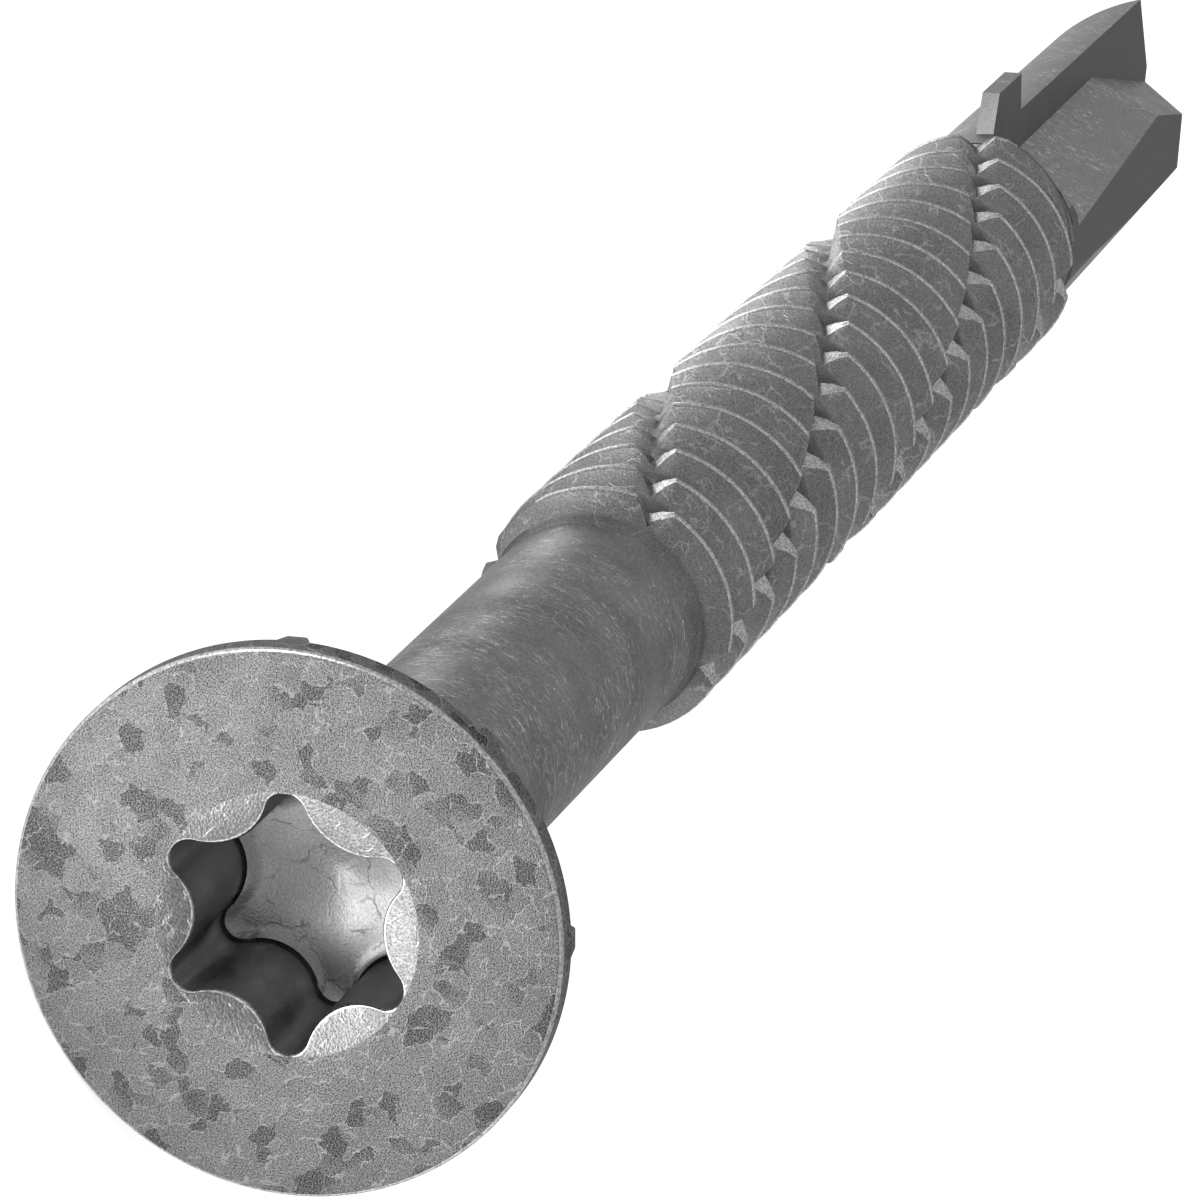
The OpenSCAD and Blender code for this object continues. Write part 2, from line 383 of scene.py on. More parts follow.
class Wiring:
    """Adds nodes to a material and joins them with short calls."""

    def __init__(self, material: bpy.types.Material) -> None:
        """Starts on a material's own node tree."""
        material.use_nodes = True
        self.tree = material.node_tree

    def node(self, kind: str, inputs: dict | None = None,
             **settings: object) -> bpy.types.Node:
        """Adds one node.

        Args:
            kind: the node's type without its first word.
            inputs: sockets by name or number, each with a value or another node's output.
            settings: the node's own options.

        Returns:
            The node.
        """
        node = self.tree.nodes.new("ShaderNode" + kind)
        for key, value in settings.items():
            setattr(node, key, value)
        self.feed(node, inputs or {})
        return node

    def feed(self, node: bpy.types.Node, inputs: dict) -> None:
        """Sets or links a node's sockets.

        Args:
            node: the node.
            inputs: sockets by name or number, each with a value or another node's output.
        """
        for key, value in inputs.items():
            if isinstance(value, Socket):
                self.tree.links.new(value, node.inputs[key])
            else:
                node.inputs[key].default_value = value

    def noise(self, place: Socket, scale: float, detail: float = 2.0) -> Socket:
        """Soft noise from 0 to 1."""
        inputs = {"Vector": place, "Scale": scale, "Detail": detail}
        return self.node("TexNoise", inputs).outputs["Fac"]

    def both(self, first: Socket, second: Socket) -> Socket:
        """Multiplies two values."""
        return self.node("Math", {0: first, 1: second}, operation="MULTIPLY").outputs[0]

    def between(self, value: Socket, low: float, high: float,
                start: float = 0.0, end: float = 1.0) -> Socket:
        """Maps a range of a value onto another range, and holds it there."""
        inputs = {"Value": value, 1: low, 2: high, 3: start, 4: end}
        return self.node("MapRange", inputs).outputs["Result"]

    def total(self, start: float, parts: list[tuple[Socket, float]]) -> Socket:
        """Adds values up, each with its own weight, to a starting number.

        Args:
            start: the number to start from.
            parts: the values and their weights.

        Returns:
            The sum.
        """
        result: object = start
        for value, weight in parts:
            inputs = {0: value, 1: weight, 2: result}
            result = self.node("Math", inputs, operation="MULTIPLY_ADD").outputs[0]
        return result


@dataclass(frozen=True)
class ZincFinish:
    """How the zinc coat looks on one kind of face; scales are counted per millimetre.

    The coat's shade runs from dark to pale. It starts at the level, and clouds, grain, patches,
    veins and scratches each move it by the amount of their name.
    """

    name: str
    dark: float
    pale: float
    level: float = 0.5
    blue: float = 1.01
    bend: float = 0.55
    bend_scale: float = 2.4
    bend_detail: float = 4.0
    cloud: float = 0.2
    cloud_scale: float = 0.6
    cloud_detail: float = 3.0
    cloud_range: tuple[float, float] = (0.3, 0.7)
    grain: float = 0.3
    grain_scale: float = 18.0
    grain_range: tuple[float, float] = (0.3, 0.7)
    grain_height: float = 0.6
    patch: float = 0.0
    patch_scale: float = 0.9
    patch_share: float = 0.27
    patch_gather: float = 1.2
    patch_fade: tuple[float, float] = (0.12, 0.04)
    patch_spread: float = 0.6
    vein: float = 0.0
    vein_scale: float = 1.1
    vein_width: float = 0.032
    vein_height: float = 0.8
    vein_gap_scale: float = 2.2
    vein_gaps: tuple[float, float] = (0.42, 0.56)
    scratch: float = 0.0
    scratch_around: float = 1.3
    scratch_along: float = 26.0
    scratch_range: tuple[float, float] = (0.61, 0.68)
    scratch_height: float = 0.5
    scratch_gap_scale: float = 0.45
    scratch_gaps: tuple[float, float] = (0.4, 0.56)
    roughness: float = 0.4
    rough_spread: float = 0.08
    bump: float = 0.3
    relief: float = 0.02
    metallic: float = 1.0
    edge: float = 0.3

    def patches(self, wire: Wiring, bent: Socket, cloud: Socket) -> list[tuple[Socket, float]]:
        """Darker crystals, gathered where the clouds are dark.

        Args:
            wire: the material's nodes.
            bent: the place, with its lines bent.
            cloud: the clouds.

        Returns:
            The values that change the shade, with their weights.
        """
        cells = wire.node("TexVoronoi", {"Vector": bent, "Scale": self.patch_scale})
        cell = wire.node("SeparateColor", {"Color": cells.outputs["Color"]}).outputs["Red"]
        parts = [(cell, 1.0), (cloud, self.patch_gather)]
        gathered = wire.total(-0.5 * self.patch_gather, parts)
        below, above = self.patch_fade
        share = wire.between(gathered, self.patch_share - below, self.patch_share + above)
        return [(share, self.patch), (cell, self.patch_spread * self.patch)]

    def veins(self, wire: Wiring, place: Socket, bent: Socket) -> Socket:
        """Thin lines between crystals, with gaps.

        Args:
            wire: the material's nodes.
            place: the place on the screw.
            bent: the place, with its lines bent.

        Returns:
            The lines, from 0 to 1.
        """
        edge = wire.node("TexVoronoi", {"Vector": bent, "Scale": self.vein_scale},
                         feature="DISTANCE_TO_EDGE").outputs["Distance"]
        line = wire.between(edge, 0.0, self.vein_width * self.vein_scale, 1.0, 0.0)
        gaps = wire.between(wire.noise(place, self.vein_gap_scale), *self.vein_gaps)
        return wire.both(line, gaps)

    def scratches(self, wire: Wiring, place: Socket, bent: Socket) -> Socket:
        """Fine scratches around the screw, with gaps.

        Args:
            wire: the material's nodes.
            place: the place on the screw.
            bent: the place, with its lines bent.

        Returns:
            The scratches, from 0 to 1.
        """
        drawn = wire.node("Mapping", {
            "Vector": bent,
            "Scale": (self.scratch_around, self.scratch_around, self.scratch_along),
        }).outputs["Vector"]
        line = wire.between(wire.noise(drawn, 1.0), *self.scratch_range)
        gaps = wire.between(wire.noise(place, self.scratch_gap_scale), *self.scratch_gaps)
        return wire.both(line, gaps)

    def material(self, upright: Matrix) -> bpy.types.Material:
        """Makes the coat's material.

        Args:
            upright: the matrix from the frame, in metres, to the upright screw, in millimetres.

        Returns:
            The material.
        """
        material = bpy.data.materials.new(self.name)
        wire = Wiring(material)
        place = wire.node("Mapping", {
            "Vector": wire.node("TexCoord").outputs["Object"],
            "Location": upright.to_translation(),
            "Rotation": upright.to_3x3().normalized().to_euler(),
            "Scale": (1 / MM, 1 / MM, 1 / MM),
        }).outputs["Vector"]
        noise = {"Vector": place, "Scale": self.bend_scale, "Detail": self.bend_detail}
        bent = wire.node("VectorMath", {
            0: wire.node("TexNoise", noise).outputs["Color"],
            1: (self.bend, self.bend, self.bend),
            2: place,
        }, operation="MULTIPLY_ADD").outputs["Vector"]
        cloud = wire.noise(place, self.cloud_scale, self.cloud_detail)
        grain = wire.between(wire.noise(place, self.grain_scale), *self.grain_range)
        parts = [(cloud, self.cloud), (grain, self.grain)]
        height = [(grain, self.grain_height)]
        if self.patch:
            parts += self.patches(wire, bent, cloud)
        if self.vein:
            vein = self.veins(wire, place, bent)
            parts.append((vein, self.vein))
            height.append((vein, self.vein_height))
        if self.scratch:
            scratch = self.scratches(wire, place, bent)
            parts.append((scratch, self.scratch))
            height.append((scratch, self.scratch_height))
        start = self.level - 0.5 * (self.cloud + self.grain) - self.patch
        shade = wire.node("Mix", {
            "Factor": wire.total(start, parts),
            6: (self.dark, self.dark, self.dark * self.blue, 1),
            7: (self.pale, self.pale, self.pale * self.blue, 1),
        }, data_type="RGBA", clamp_factor=True).outputs[2]
        low, high = self.roughness - self.rough_spread, self.roughness + self.rough_spread
        bump = wire.node("Bump", {
            "Strength": self.bump, "Distance": self.relief * MM,
            "Height": wire.total(0.0, height),
        }).outputs["Normal"]
        wire.feed(wire.tree.nodes["Principled BSDF"], {
            "Base Color": shade, "Metallic": self.metallic, "Normal": bump,
            "Specular Tint": (self.edge, self.edge, self.edge, 1),
            "Roughness": wire.between(cloud, *self.cloud_range, high, low),
        })
        return material


class Finish(Enum):
    """The kinds of face on the screw."""

    SPANGLED = ZincFinish("spangled zinc", 0.05, 0.4, level=0.5, patch=0.22, patch_scale=2.0,
                          patch_share=0.26, grain=1.1, grain_scale=29.0, vein=1.3, vein_scale=2.0,
                          vein_width=0.022, cloud=0.3, bump=0.8, roughness=0.42)
    # Paler than the rest of the coat so that the recess walls, which lie in shade, read lighter:
    # painted fill light.
    WALL = ZincFinish("recess wall zinc with painted fill light", 0.36, 0.68, grain=0.15, cloud=0.5, cloud_scale=1.2,
                      roughness=0.36, bump=0.15)
    FLOOR = ZincFinish("smooth zinc", 0.09, 0.38, level=0.55, grain=0.25, cloud=0.3, vein=-0.4,
                       vein_scale=0.9, roughness=0.27, bump=0.12)
    MOUTH = ZincFinish("mouth zinc", 0.07, 0.37, level=0.5, grain=0.5, vein=0.6, vein_scale=1.6,
                       roughness=0.27, bump=0.35)
    SATIN = ZincFinish("satin zinc", 0.16, 0.85, level=0.28, grain=0.2, grain_scale=14.0, cloud=0.45,
                       scratch=1.4, scratch_around=2.4, scratch_along=40.0, roughness=0.4, bump=0.25)
    ROLLED = ZincFinish("rolled zinc", 0.1, 0.5, level=0.37, grain=0.4, grain_scale=22.0, cloud=0.3,
                        vein=0.4, vein_scale=1.0, scratch=0.4, scratch_around=2.4, scratch_along=30.0,
                        roughness=0.42, bump=0.3)
    GROUND = ZincFinish("ground zinc", 0.2, 0.95, level=0.34, grain=0.25, cloud=0.2, scratch=1.5,
                        scratch_around=3.4, scratch_along=26.0, roughness=0.42, bump=0.25)
    FORGED = ZincFinish("forged zinc", 0.16, 0.38, level=0.4, grain=0.4, grain_scale=24.0, cloud=0.12,
                        roughness=0.5, bump=0.2)
    # Paler coat for the crests, the notch walls, the recess lip and the head's rim edge: a painted
    # edge highlight.
    WORN = ZincFinish("painted edge highlight zinc", 0.24, 0.92, level=0.5, grain=0.8, grain_scale=16.0,
                      roughness=0.32, bump=0.2)


@dataclass
class Coater:
    """Makes each coat once and puts the coats on the faces of the upright pieces."""

    rest: Matrix
    made: dict[Finish, bpy.types.Material] = field(default_factory=dict)

    def coat(self, piece: bpy.types.Object, choose: Callable[[Vector, Vector], Finish]) -> None:
        """Gives every face of a piece its coat.

        Args:
            piece: the upright piece.
            choose: tells the finish from a face's centre and its normal.
        """
        picked = [choose(face.center, face.normal) for face in piece.data.polygons]
        used = sorted(set(picked), key=list(Finish).index)
        piece.data.materials.clear()
        for finish in used:
            if finish not in self.made:
                self.made[finish] = finish.value.material(self.rest.inverted())
            piece.data.materials.append(self.made[finish])
        for face, finish in zip(piece.data.polygons, picked):
            face.material_index = used.index(finish)


@dataclass
class Ring:
    """One ring of a turned form: its radius and height at each angle in degrees."""

    radius: Rise
    height: Rise

    @classmethod
    def round(cls, radius: float, height: float) -> "Ring":
        """A plain round ring."""
        return cls(lambda angle: radius, lambda angle: height)

    def put(self, vert: Corner) -> None:
        """Moves a corner onto this ring at its own angle.

        Args:
            vert: the corner.
        """
        angle = math.degrees(math.atan2(vert.co.y, vert.co.x))
        radius = self.radius(angle)
        turn = math.radians(angle)
        vert.co = Vector((radius * math.cos(turn), radius * math.sin(turn), self.height(angle)))


class Turning:
    """Builds a form ring by ring, as on a lathe whose radius may change with the angle."""

    START_R = 0.3

    def __init__(self, name: str, rings: list[Ring], steps: int) -> None:
        """Adds the first ring as a fan and extrudes the others from it.

        Args:
            name: the piece's name.
            rings: the rings in order, from the first pole to the last cap.
            steps: how many corners each ring has.
        """
        Bench.clear()
        bpy.ops.mesh.primitive_circle_add(vertices=steps, radius=self.START_R,
                                          fill_type="TRIFAN")
        self.piece = bpy.context.object
        self.piece.name = name
        bpy.ops.object.mode_set(mode="EDIT")
        mesh = bmesh.from_edit_mesh(self.piece.data)
        for face in mesh.faces:
            face.select = False
        for vert in mesh.verts:
            vert.select = vert.co.length > self.START_R / 2
            if not vert.select:
                vert.co.z = rings[0].height(0)
        for edge in mesh.edges:
            edge.select = all(vert.co.xy.length > self.START_R / 2 for vert in edge.verts)
        bmesh.update_edit_mesh(self.piece.data)
        self.move(rings[1])
        for ring in rings[2:]:
            bpy.ops.mesh.extrude_edges_move()
            self.move(ring)
        bpy.ops.mesh.edge_face_add()
        bpy.ops.mesh.select_all(action="SELECT")
        bpy.ops.mesh.normals_make_consistent(inside=False)
        bpy.ops.object.mode_set(mode="OBJECT")

    def move(self, ring: Ring) -> None:
        """Moves the selected corners onto a ring.

        Args:
            ring: the ring.
        """
        mesh = bmesh.from_edit_mesh(self.piece.data)
        for vert in mesh.verts:
            if vert.select:
                ring.put(vert)
        bmesh.update_edit_mesh(self.piece.data)


@dataclass
class LobedOutline:
    """The six lobed outline of the drive recess, lobe arcs and ridge arcs meeting smoothly."""

    lobe_d: float = 5.7
    ridge_d: float = 4.1
    lobe_r: float = 0.46
    inset: float = 0.0

    def radius(self, angle: float) -> float:
        """Distance of the outline from the axis at an angle.

        Args:
            angle: degrees from a lobe's tip.

        Returns:
            The distance in millimetres, drawn in by the inset.
        """
        lobe_at = self.lobe_d / 2 - self.lobe_r
        half = self.ridge_d / 2
        cos30 = math.cos(math.radians(30))
        top = self.lobe_r ** 2 - lobe_at ** 2 - half ** 2 + 2 * lobe_at * half * cos30
        ridge = top / (2 * (half - lobe_at * cos30 - self.lobe_r))
        ridge_at = half + ridge
        meet = self.lobe_r / (self.lobe_r + ridge)
        touch = Vector((lobe_at + meet * (ridge_at * cos30 - lobe_at), meet * ridge_at / 2))
        lobe, ridge = self.lobe_r - self.inset, ridge + self.inset
        off = abs((angle + 30) % 60 - 30)
        if off < math.degrees(math.atan2(touch.y, touch.x)):
            turn = math.radians(off)
            side = lobe_at * math.sin(turn)
            return lobe_at * math.cos(turn) + math.sqrt(max(0.0, lobe ** 2 - side ** 2))
        turn = math.radians(30 - off)
        side = ridge_at * math.sin(turn)
        return ridge_at * math.cos(turn) - math.sqrt(max(0.0, ridge ** 2 - side ** 2))


@dataclass
class Head:
    """The head with its recess and ribs, and the plain shank below it."""

    sizes: ScrewSizes
    steps: int = 360
    outline: LobedOutline = field(default_factory=LobedOutline)
    mouth_r: float = 2.9
    mouth_depth: float = 0.18
    mouth_soft: tuple[float, float] = (0.02, 0.03)
    mouth_edge: float = 0.004
    recess_depth: float = 3.3
    dish: float = 0.45
    dish_r: float = 2.85
    dish_top: float = 1.04
    dish_tip: float = 0.1
    floor_shares: tuple[float, ...] = (0.1, 0.22, 0.36, 0.5, 0.64, 0.76, 0.88, 1.0)
    foot: tuple[float, float] = (0.18, 0.18)
    knee: tuple[float, float] = (0.06, 0.05)
    wall_middle: float = 0.55
    soft: float = 0.08
    lip: tuple[tuple[float, float], ...] = ((0.15, 0.45), (0.5, 0.2), (1.0, 1.0))
    face_rings: tuple[float, ...] = (3.4, 4.2, 5.2)
    edge_steps: tuple[float, ...] = (22.5, 45.0, 67.5, 90.0)
    rim_rings: tuple[tuple[float, float], ...] = ((0.0, -0.05), (-0.02, 0.0), (-0.08, 0.06))
    neck_rings: tuple[tuple[float, float], ...] = (
        (0.5, -0.5), (0.14, -0.08), (0.03, 0.12), (0.0, 0.35)
    )
    end_rings: tuple[tuple[float, float], ...] = ((0.0, -0.04), (-0.02, 0.0))
    ribs: int = 8
    rib_h: float = 0.27
    rib_foot_w: float = 0.66
    rib_top_w: float = 0.44
    rib_inner_r: float = 3.3
    rib_sunk: tuple[float, float] = (0.17, 0.15)
    rib_end: float = 0.005
    rib_soft: float = 0.03
    rib_sharp: float = 30.0
    rib_smooth: float = 40.0
    smooth_angle: float = 25.0
    coat_margin: float = 0.1
    lip_margin: float = 0.02
    wall_margin: float = 0.01
    neck_margin: float = 0.2
    edge_share: float = 0.8
    level: float = 0.98

    def recess_rings(self) -> list[Ring]:
        """Shapes the recess and its mouth.

        Returns:
            Rings from the centre of the recess floor up its walls to the flat face.
        """
        wall = self.outline
        foot, knee = LobedOutline(inset=self.foot[0]), LobedOutline(inset=self.knee[0])
        mouth, last = self.mouth_r, self.mouth_r - self.mouth_soft[0]
        fall = self.mouth_depth / (mouth - wall.ridge_d / 2)

        def share(part: float) -> Rise:
            """Radius at a share of the way to the foot of the wall."""
            return lambda angle: foot.radius(angle) * part

        def sunk(radius: float) -> float:
            """Depth of the dished floor at a radius."""
            cone = self.dish_top - math.hypot(radius / self.dish_r, self.dish_tip)
            return self.recess_depth + self.dish * max(0.0, cone)

        def floor(part: float) -> Rise:
            """Height of the dished floor at that share."""
            return lambda angle: sunk(foot.radius(angle) * part)

        def up(extra: float) -> Rise:
            """Height at which the wall meets the mouth, moved along the wall."""
            return lambda angle: fall * (mouth - wall.radius(angle)) + extra

        def drawn(out: float) -> Rise:
            """Radius of the wall moved towards the mouth's edge."""
            return lambda angle: min(wall.radius(angle) + out, last)

        def slope(out: float) -> Rise:
            """Height of the mouth at that radius."""
            return lambda angle: fall * (mouth - min(wall.radius(angle) + out, last))

        soft = self.soft
        (first_out, first_up), (next_out, next_up), (last_out, last_up) = self.lip
        return [Ring.round(0, sunk(0))] + [
            Ring(share(part), floor(part)) for part in self.floor_shares
        ] + [
            Ring(knee.radius, lambda angle: sunk(knee.radius(angle)) - self.knee[1]),
            Ring(wall.radius, lambda angle: sunk(wall.radius(angle)) - self.foot[1]),
            Ring(wall.radius, lambda angle: self.recess_depth * self.wall_middle),
            Ring(wall.radius, up(soft)),
            Ring(drawn(first_out * soft), up(first_up * soft)),
            Ring(drawn(next_out * soft), slope(next_up * soft)),
            Ring(drawn(last_out * soft), slope(last_up * soft)),
            Ring.round(mouth, self.mouth_edge),
            Ring.round(mouth + self.mouth_soft[1], 0.0),
        ]

    def outer_rings(self) -> list[Ring]:
        """Shapes the flat face, the rim, the underside and the shank.

        Returns:
            Rings from the recess's mouth to the end of the shank.
        """
        s = self.sizes
        flat = [Ring.round(r, 0) for r in (*self.face_rings, s.head_r - s.edge_r)]
        edge = [
            Ring.round(s.head_r - s.edge_r * (1 - math.sin(a)), s.edge_r * (1 - math.cos(a)))
            for a in map(math.radians, self.edge_steps)
        ]
        rim = [Ring.round(s.head_r + out, s.rim_h + up) for out, up in self.rim_rings]
        neck = [Ring.round(s.shank_r + out, s.seat_end + up) for out, up in self.neck_rings]
        end = [Ring.round(s.shank_r + out, s.shank_end + up) for out, up in self.end_rings]
        return flat + edge + rim + neck + end

    def rib(self) -> bpy.types.Object:
        """One milling rib, a tapered bar along the underside.

        Returns:
            The rib at angle 0, upright.
        """
        s = self.sizes
        reach = (s.head_r + 1 - self.rib_inner_r) * math.sqrt(2)
        stand = self.rib_h / math.sqrt(2)
        wider, deep = self.rib_sunk
        Bench.clear()
        bpy.ops.mesh.primitive_cube_add(size=1)
        bar = bpy.context.object
        for vert in bar.data.vertices:
            high = vert.co.y > 0
            width = self.rib_top_w if high else self.rib_foot_w + wider
            vert.co = Vector((
                math.copysign(width / 2, vert.co.x), stand if high else -deep,
                reach if vert.co.z > 0 else 0,
            ))
        start = Matrix.Translation((self.rib_inner_r, 0, s.rim_h + s.head_r - self.rib_inner_r))
        tilt = Matrix.Rotation(math.radians(135), 4, "Y") @ Matrix.Rotation(math.radians(90), 4, "Z")
        bar.data.transform(start @ tilt)
        Bench.pick(bar)
        bpy.ops.object.mode_set(mode="EDIT")
        Bench.bisect(Vector((s.head_r - self.rib_end, 0, 0)), Vector((1, 0, 0)))
        bpy.ops.object.mode_set(mode="OBJECT")
        Bench.wear(bar, self.rib_soft, self.rib_sharp)
        return bar

    def finish(self, centre: Vector, normal: Vector) -> Finish:
        """Tells the coat of a face of the head or the shank.

        Args:
            centre: the face's centre on the upright screw.
            normal: the face's normal.

        Returns:
            The finish.
        """
        s = self.sizes
        out = math.hypot(centre.x, centre.y)
        wall = self.outline.radius(math.degrees(math.atan2(centre.y, centre.x)))
        mouth_end = self.mouth_depth + self.coat_margin
        recess_end = self.recess_depth + self.dish + self.coat_margin
        inside = out < self.mouth_r and centre.z < recess_end
        near_lip = centre.z < mouth_end and abs(out - wall) < self.soft + self.lip_margin
        # The recess lip takes the paler coat: painted edge highlight.
        if inside and near_lip and normal.z > -self.level:
            return Finish.WORN
        if inside and centre.z > self.recess_depth - self.coat_margin:
            return Finish.FLOOR
        # Recess walls take the paler wall coat: painted fill light against their shade.
        if inside and (out < wall + self.wall_margin or centre.z > mouth_end + self.lip_margin):
            return Finish.WALL
        if inside:
            return Finish.MOUTH
        if centre.z > s.seat_end - self.neck_margin:
            return Finish.SATIN
        # The rounded rim edge of the flat face takes the paler coat: painted edge highlight.
        if out > s.head_r - self.edge_share * s.edge_r and centre.z < s.edge_r:
            return Finish.WORN
        return Finish.SPANGLED

    def build(self) -> list[bpy.types.Object]:
        """Makes the head with its shank, and the ribs.

        Returns:
            The two pieces, upright.
        """
        body = Turning("head_and_shank", self.recess_rings() + self.outer_rings(), self.steps).piece
        Bench.smooth(body, self.smooth_angle)
        bars = []
        first = self.rib()
        for number in range(self.ribs):
            bar = first.copy()
            bar.data = first.data.copy()
            bpy.context.collection.objects.link(bar)
            bar.data.transform(Matrix.Rotation(math.tau * number / self.ribs, 4, "Z"))
            bars.append(bar)
        bpy.data.objects.remove(first)
        Bench.pick(bars[0])
        for bar in bars:
            bar.select_set(True)
        bpy.ops.object.join()
        ribs = bpy.context.object
        ribs.name = "head_ribs"
        Bench.smooth(ribs, self.rib_smooth)
        return [body, ribs]


@dataclass
class Thread:
    """The notched thread, woven from columns along the notch rows and rows along the helix."""

    sizes: ScrewSizes
    foot_half: float = 0.58
    lead_side: float = 9.5
    trail_side: float = 9.65
    shoulder: float = 0.4
    shoulder_in: float = 0.5
    floor_r: float = 2.62
    crest_steps: int = 12
    thin: float = 0.2
    least_half: float = 0.02
    least_rise: float = 1e-6
    flat_share: float = 0.9
    in_curve: float = 1.3
    out_curve: float = 1.4
    pinch: float = 0.2
    crown: float = 0.16
    rounding: tuple[tuple[float, float], ...] = (
        (0.12, 0.0), (0.0, 0.12), (0.0, 0.86), (-0.01, 0.94), (-0.035, 0.985), (-0.065, 1.0)
    )
    seam: float = 0.03
    low_neck: tuple[float, float] = (0.06, 0.3)
    high_neck: tuple[float, float] = (0.5, 0.3)
    # Depth and facing of the crest faces that take the painted edge highlight.
    highlight_depth: float = 0.045
    highlight_facing: float = 0.5
    notch_margin: float = 0.05
    notch_facing: float = 0.35
    plain_ends: tuple[float, float] = (1.0, 0.5)
    smooth_angle: float = 28.0

    def offsets(self) -> list[float]:
        """Spreads one quarter turn's columns.

        Returns:
            Their angles from the notch floor, in degrees.
        """
        lead, trail = self.lead_side, 90 - self.trail_side
        first, last = lead + self.shoulder_in, trail - self.shoulder_in
        inner = [first + (last - first) * i / self.crest_steps for i in range(self.crest_steps + 1)]
        return [0.0, lead * 0.5, lead - self.shoulder] + inner + [
            trail + self.shoulder, trail + self.trail_side * 0.5
        ]

    def notched(self, offset: float) -> float:
        """How far a column is into a notch: 0 outside it and 1 at its floor."""
        side, width = (offset, self.lead_side) if offset < 45 else (90 - offset, self.trail_side)
        return max(0.0, 1 - side / width)

    def cut_radius(self, offset: float) -> float:
        """Radius to which a notch cuts the crest at an angle from its floor."""
        s = self.sizes
        return s.crest_r - (s.crest_r - self.floor_r) * self.notched(offset)

    def rise(self, angle: float, start: float, end: float) -> float:
        """Lets the thread rise from the shank and fall again before the drill.

        Args:
            angle: the place along the helix, in degrees.
            start: where the thread starts.
            end: where it ends.

        Returns:
            The share of its full height.
        """
        s = self.sizes
        into = max(0.0, angle - start) / s.run_in
        out = max(0.0, end - angle) / s.run_out
        return min(1.0, into ** self.in_curve, out ** self.out_curve)

    def finish(self, centre: Vector, normal: Vector) -> Finish:
        """Tells the coat of a face of the thread: a paler coat on the crests and in the notches, a
        painted edge highlight.

        Args:
            centre: the face's centre on the upright screw.
            normal: the face's normal.

        Returns:
            The finish.
        """
        s = self.sizes
        out = Vector((centre.x, centre.y, 0))
        outward = normal.dot(out.normalized()) > self.highlight_facing
        crest = out.length > s.crest_r - self.highlight_depth and outward
        notch = out.length > s.root_r + self.notch_margin and abs(normal.z) < self.notch_facing
        low, high = s.shank_end + self.plain_ends[0], s.thread_end - self.plain_ends[1]
        # Crest and notch faces take the paler coat: painted edge highlight.
        return Finish.WORN if crest or notch and low < centre.z < high else Finish.ROLLED

    def build(self) -> bpy.types.Object:
        """Makes the thread with its core.

        Returns:
            The thread, upright.
        """
        s = self.sizes
        offsets = self.offsets()
        per_row = len(offsets)
        turn = 4 * per_row
        first, last = s.first_row * per_row, s.last_row * per_row

        def row_angle(column: int) -> float:
            """Angle of a column at the rows' datum."""
            return s.notch_angle + 90 * (column // per_row) + offsets[column % per_row]

        def place(column: int, radius: float, height: float) -> Vector:
            """The point of a column at a radius and a height."""
            angle = math.radians(s.column_angle(row_angle(column), height))
            return Vector((radius * math.cos(angle), radius * math.sin(angle), height))

        start = s.helix_angle(s.crest_height(row_angle(first)))
        end = s.helix_angle(s.crest_height(row_angle(last)))

        def point(column: int, side: int, kind: int) -> Vector:
            """Finds a corner of the ridge.

            Args:
                column: the corner's column.
                side: -1 towards the head and 1 towards the tip.
                kind: 0 at the ridge's foot, up to the last one on the crest.

            Returns:
                The corner's place.
            """
            middle = s.crest_height(row_angle(column))
            share = self.rise(s.helix_angle(middle), start, end)
            top = s.root_r + (s.crest_r - s.root_r) * share
            cut = min(top, self.cut_radius(offsets[column % per_row]))
            pinch = 1 - self.pinch * self.notched(offsets[column % per_row])
            foot = self.foot_half * (self.thin + (1 - self.thin) * share) * pinch
            flat = min(self.flat_share * foot, s.crest_half)
            extra, level = self.rounding[kind]
            radius = s.root_r + (top - s.root_r) * level
            width = foot + (flat - foot) * level + extra * min(1.0, foot / self.foot_half)
            width = max(self.least_half, width)
            if radius > cut:
                level = (cut - s.root_r) / max(self.least_rise, top - s.root_r)
                radius = cut
                width = (foot + (flat - foot) * level) * (1 - self.crown * max(0, kind - 1))
            return place(column, radius, middle + side * width)

        kinds = range(len(self.rounding))
        rows = [(-1, kind) for kind in kinds] + [(1, kind) for kind in reversed(kinds)]
        top = len(rows) - 1
        count = last - first + 1
        Bench.clear()
        bpy.ops.mesh.primitive_grid_add(x_subdivisions=count - 1, y_subdivisions=top, size=1)
        piece = bpy.context.object
        piece.name = "thread"
        bpy.ops.object.mode_set(mode="EDIT")
        mesh = bmesh.from_edit_mesh(piece.data)
        grid: dict[tuple[int, int], Corner] = {}
        for vert in mesh.verts:
            grid[round((vert.co.x + 0.5) * (count - 1)), round((vert.co.y + 0.5) * top)] = vert
        for (i, j), vert in grid.items():
            vert.co = point(first + i, *rows[j])

        def band(*corners: Corner) -> None:
            """Adds one face between corners, in their order."""
            mesh.faces.new(corners)

        def ring(column: int, radius: float, height: float) -> list[Corner]:
            """Adds one turn of corners.

            Args:
                column: the column of the first corner.
                radius: their distance from the axis.
                height: their height.

            Returns:
                The corners, in order.
            """
            return [mesh.verts.new(place(column + i, radius, height)) for i in range(turn)]

